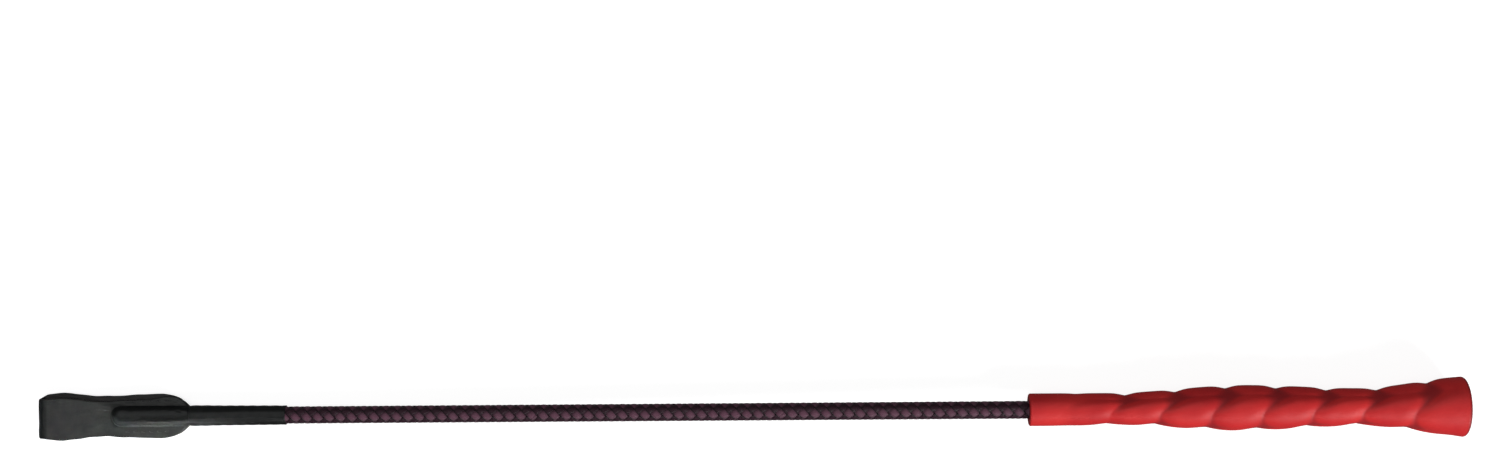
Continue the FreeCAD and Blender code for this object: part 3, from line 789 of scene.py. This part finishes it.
def keeper_half_width(station):
    """Half the strip's width. The last stretch is a round end, then the tail under the sleeve."""
    sides = curved(station, [(0.0, 8.5), (3.2, 9.95), (6.5, 10.45), (11.5, 10.75), (18.0, 10.25),
                             (24.0, 9.55), (31.0, 9.25), (40.0, 9.6), (57.0, 10.2), (70.0, 10.2)])
    centre = POCKET_END - 0.93 * POCKET_END_ARC
    inside = np.clip(1.0 - ((station - centre) / POCKET_END_ARC) ** 2, 0.0, 1.0)
    round_end = np.where(station > centre, 10.2 * np.sqrt(inside), 99.0)
    return np.maximum(np.minimum(sides, round_end), TAIL_RADIUS)


def keeper_height(station, across):
    """Height of the outer leather surface over the middle plane."""
    flat = LEATHER + (FOLD_RADIUS - LEATHER) * smooth((27.0 - station) / (27.0 - FOLD_RADIUS))
    skived = flat - 0.75 * smooth((station - 62.0) / 7.0) * smooth((np.abs(across) - 4.5) / 3.0)
    before = np.clip(RIDGE_START - station, 0.0, 99.0)
    radius = RIDGE_RADIUS - (RIDGE_RADIUS - TAIL_RADIUS) * smooth((station - 68.0) / 3.0)
    flatness = RIDGE_FLATNESS - (RIDGE_FLATNESS - 2.0) * smooth((station - 62.0) / 8.0)
    aside = np.hypot(across, before) / radius
    ridge = radius * np.clip(1.0 - aside**flatness, 0.0, None) ** (1.0 / flatness)
    gap = np.clip(1.0 - np.abs(ridge - skived) / RIDGE_SHARPNESS, 0.0, 1.0)
    return np.maximum(ridge, skived) + gap * gap * RIDGE_SHARPNESS / 4.0


def make_keeper(materials):
    """One strip of leather: along the top to the fold, round it, and back along the bottom."""
    run = np.linspace(KEEPER_END, FOLD_RADIUS, RUN_ROWS)
    fold = np.linspace(0.0, math.pi, FOLD_STEPS + 1)[1:-1]
    station = np.concatenate([run, FOLD_RADIUS - FOLD_RADIUS * np.sin(fold), run[::-1]])
    turn = np.concatenate([np.zeros(RUN_ROWS), fold, np.full(RUN_ROWS, math.pi)])
    back = (1.0 - np.cos(turn)) / 2.0
    in_fold = (turn > 0) & (turn < math.pi)
    path = np.concatenate([[0.0], np.cumsum(np.where(
        in_fold[1:], FOLD_RADIUS * math.pi / FOLD_STEPS, np.abs(np.diff(station))))])
    even = np.linspace(0.0, 1.0, KEEPER_LANES)
    lane = even - 0.6 * np.sin(2.0 * math.pi * even) / (2.0 * math.pi)
    half = keeper_half_width(station)
    shift = LAYER_SHIFT * smooth((66.0 - station) / 16.0) * smooth((station + 4.0) / 10.0)
    wobble = np.array([noise.noise(Vector((s / 7.0, 3.1, b))) for s, b in zip(station, back)]) * 0.35
    square_corner = 1.1 * smooth((3.5 - station) / 3.5)
    low = -half - square_corner + wobble * (station < 66.0) + 0.7 * back * shift / LAYER_SHIFT
    high = half - shift * (1.0 - back) - wobble * (station < 66.0)
    across = low[:, None] + (high - low)[:, None] * lane[None, :]
    stations = np.repeat(station[:, None], across.shape[1], axis=1)
    edge = np.minimum(across - low[:, None], high[:, None] - across)
    droop = 0.45 * (1.0 - np.sqrt(np.clip(edge / 0.6, 0.0, 1.0)))
    layer_height = np.repeat(back[:, None] * 9.0, across.shape[1], axis=1)
    crease_at = np.stack([stations, across * 0.8, layer_height], axis=-1)
    crease = rough(crease_at, 4.5) * 0.16 + rough(crease_at, 1.8, 7.0) * 0.05
    pleats = rough(np.stack([stations * 0.7, across * 1.9, crease_at[..., 2]], -1), 1.6, 3.0)
    crease += 0.22 * pleats * smooth((stations - 60.0) / 4.0) * smooth((71.0 - stations) / 2.0)
    folds = rough(np.stack([stations * 2.2, across * 0.5, crease_at[..., 2]], -1), 2.2, 11.0)
    crease += 0.3 * folds * smooth((6.0 - stations) / 3.0)
    outer = keeper_height(stations, across) - droop + crease
    outer = np.where(back[:, None] > 0.5, np.minimum(outer, RIDGE_UNDERSIDE), outer)
    inner = np.maximum(keeper_height(stations, across) - LEATHER, 0.04)
    inner = np.minimum(inner, outer - LEAST_LEATHER)
    bow = np.cos(turn)[:, None]
    fold_here = in_fold[:, None]
    reach_out = np.sin(turn)[:, None]

    def shell(height, radius):
        """Points of the strip's outer or inner face."""
        up = np.where(fold_here, radius * bow, height * np.sign(bow))
        along = np.where(fold_here, FOLD_RADIUS - radius * reach_out, stations)
        return place(along, across, up)

    fold_outer = FOLD_RADIUS - droop * 0.6 + crease * 0.6
    outer_face = shell(outer, fold_outer)
    inner_face = shell(inner, np.full(fold_outer.shape, FOLD_RADIUS - LEATHER))
    ring = np.concatenate([outer_face, inner_face[:, ::-1]], axis=1)
    columns = ring.shape[1]
    across_uv = np.concatenate([across, across[:, ::-1] + 40.0, across[:, :1] + 80.0], axis=1)
    uv = np.stack([np.repeat(path[:, None], columns + 1, axis=1), across_uv], axis=-1)
    edge_mark = np.clip(1.0 - edge / 0.5, 0.0, 1.0)
    polish_and_fold_shade = smooth((5.6 - np.abs(across)) / 1.4) * smooth((stations - 33.0) / 2.5)
    # Painted shade: the leather round the fold, up to station 4.8, takes 0.8 of the polish mark, so it is painted
    # darker where the fold turns away from the light.
    polish_and_fold_shade = np.maximum(polish_and_fold_shade, 0.8 * smooth((4.8 - stations) / 1.0))
    mark = np.concatenate([edge_mark - polish_and_fold_shade, np.ones(edge_mark.shape)], axis=1)
    skin = Skin("keeper_leather")
    skin.grid(ring, uv, around=True, capped=True, mark=mark)
    keeper = skin.piece("black_leather", [materials["black_leather"]])
    hinge = joint_station("keeper_flex")
    place(hinge + KEEPER_BLEND_REACH, 0.0, 0.0)
    place(hinge - KEEPER_BLEND_REACH, 0.0, 0.0)
    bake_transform(keeper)
    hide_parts("keeper_pocket", "keeper_flap")


def make_stitches(materials):
    """Rows of thread on both faces, each stitch dipping into the leather at its ends."""
    for side, node in ((1.0, "keeper_stitching_left"), (-1.0, "keeper_stitching_right")):
        low, high = (vertices_of(node) @ ACROSS).min(), (vertices_of(node) @ ACROSS).max()
        row = (low + high) / 2.0 / MM
        skin = Skin("seam_thread_" + node.rsplit("_", 1)[1])
        for face in (1.0, -1.0):
            for i in range(STITCH_COUNT):
                start = STITCH_START + STITCH_PITCH * i
                t = np.linspace(0.0, 1.0, 9)
                station = start + STITCH_LENGTH * t
                surface = keeper_height(station, np.full(9, row))
                height = surface - STITCH_DEPTH + STITCH_RISE * np.sin(math.pi * t) ** 0.5
                angles = np.linspace(0.0, 2.0 * math.pi, 10, endpoint=False)
                twist = STITCH_RADIUS * (0.35 + 0.65 * np.sin(math.pi * t) ** 0.4)
                ring_across = row + twist[:, None] * np.cos(angles)
                ring_up = face * (height[:, None] + twist[:, None] * np.sin(angles))
                ring_station = np.repeat(station[:, None], 10, axis=1)
                points = place(ring_station, ring_across, ring_up)
                uv = np.stack(np.meshgrid(station, np.linspace(0, 2, 11), indexing="ij"), axis=-1)
                skin.grid(points, uv, around=True, capped=True, mark=np.full((9, 10), 0.5))
        seam = skin.piece("stitch_thread", [materials["stitch_thread"]])
        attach(seam, "shaft_tip")
        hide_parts(node)


# ---------------------------------------------------------------- carried-over CAD nodes


def dress_nodes(materials):
    """Gives the inner CAD nodes that stay their finished materials."""
    dress = {"thread_whipping_front": "whipping_thread", "thread_whipping_rear": "whipping_thread",
             "rod_tip_cap": "cap_plastic", "grip_core": "former_plastic", "stone_seat": "seat_plastic",
             "foil_cup": "mirror_foil", "glue_ring": "clear_glue"}
    for node, material in dress.items():
        mesh = frame["nodes"][node].data
        mesh.materials.clear()
        mesh.materials.append(materials[material])


# ---------------------------------------------------------------- stage


# name, location, target, size, power and spread
LIGHTS = [
    ("key", (1.5, -1.4, 1.1), (0.1, 0.0, 0.0), (0.8, 0.6), 46.0, math.pi),
    ("low_strip", (-0.29, -0.9, 0.2), (-0.29, 0.0, 0.0), (0.05, 0.1), 0.1, math.radians(6.0)),
    ("strip", (-0.05, -1.15, 0.8), (0.0, 0.0, 0.0), (1.6, 0.12), 6.0, math.pi),
    ("fill", (-0.4, 0.7, 1.9), (0.0, 0.0, 0.0), (2.4, 2.0), 18.0, math.pi),
]
FLOOR_REACH = 4.0
SKY_STRENGTH = 0.13


def area_light(name, location, target, size, power, spread):
    """A rectangular light aimed at a target."""
    data = bpy.data.lights.new(name, "AREA")
    data.shape = "RECTANGLE"
    data.size, data.size_y = size
    data.energy = power
    data.spread = spread
    light = bpy.data.objects.new(name, data)
    bpy.context.scene.collection.objects.link(light)
    light.location = location
    direction = Vector(target) - Vector(location)
    light.rotation_euler = direction.to_track_quat("-Z", "Y").to_euler()


def make_stage(materials):
    """A pale floor, the lights listed in LIGHTS, and a weak even sky."""
    mesh = bpy.data.meshes.new("floor")
    side = FLOOR_REACH
    mesh.from_pydata([(-side, -side, 0), (side, -side, 0), (side, side, 0), (-side, side, 0)], [],
                     [(0, 1, 2, 3)])
    mesh.materials.append(materials["pale_floor"])
    floor = bpy.data.objects.new("floor", mesh)
    bpy.context.scene.collection.objects.link(floor)
    floor.visible_diffuse = False
    floor.visible_glossy = False
    for light in LIGHTS:
        area_light(*light)
    world = bpy.data.worlds.new("sky")
    world.use_nodes = True
    background = world.node_tree.nodes["Background"]
    background.inputs["Color"].default_value = (1.0, 1.0, 1.0, 1.0)
    background.inputs["Strength"].default_value = SKY_STRENGTH
    bpy.context.scene.world = world
    bpy.context.scene.view_settings.view_transform = "Standard"


def make_camera():
    """Straight above the floor, the crop lying across the low part of the frame."""
    data = bpy.data.cameras.new("camera")
    data.sensor_width = 36.0
    data.lens = 52.7
    camera = bpy.data.objects.new("camera", data)
    bpy.context.scene.collection.objects.link(camera)
    camera.location = (0.0014, 0.0847, 1.01)
    camera.rotation_euler = (0.0, 0.0, math.radians(-0.48))
    bpy.context.scene.camera = camera


def all_materials():
    """Every finish by name."""
    stone_centre = place(STONE_MIDDLE, 0.0, 0.0)
    return {
        "red_rubber": red_rubber(),
        "black_leather": black_leather(),
        # For the braid threads the second colour is the painted highlight on the crowns, and the first is the
        # painted shade at the sides and crossings.
        "plum_thread": thread("plum_thread", (0.017, 0.002, 0.009), (0.112, 0.046, 0.072), 0.1),
        "black_thread": thread("black_thread", (0.005, 0.002, 0.004), (0.026, 0.007, 0.015), 0.04),
        "stitch_thread": thread("stitch_thread", (0.006, 0.006, 0.007), (0.025, 0.025, 0.027), 0.1),
        "whipping_thread": wound_thread("whipping_thread", (0.01, 0.01, 0.011), (0.05, 0.048, 0.05)),
        "shrink_sleeve": shrink_sleeve(),
        "cap_plastic": plain_plastic("cap_plastic", (0.02, 0.02, 0.022), (0.045, 0.045, 0.048), 0.4),
        "former_plastic": plain_plastic("former_plastic", (0.10, 0.10, 0.10), (0.17, 0.17, 0.165), 0.5),
        "seat_plastic": plain_plastic("seat_plastic", (0.02, 0.02, 0.022), (0.05, 0.05, 0.052), 0.42),
        "fibreglass_rod": glass_fibre(),
        "yarn_padding": filler_yarn(),
        "mirror_foil": mirror_foil(),
        "clear_glue": clear_glue(),
        "coated_crystal": coated_crystal(stone_centre, STONE_RADIUS * MM),
        "pale_floor": pale_floor(),
    }


materials = all_materials()
dress_nodes(materials)
make_rod(materials)
make_padding(materials)
make_braid(materials)
make_sleeve(materials)
make_keeper(materials)
make_stitches(materials)
make_grip(materials)
make_stone(materials)
make_stage(materials)
make_camera()
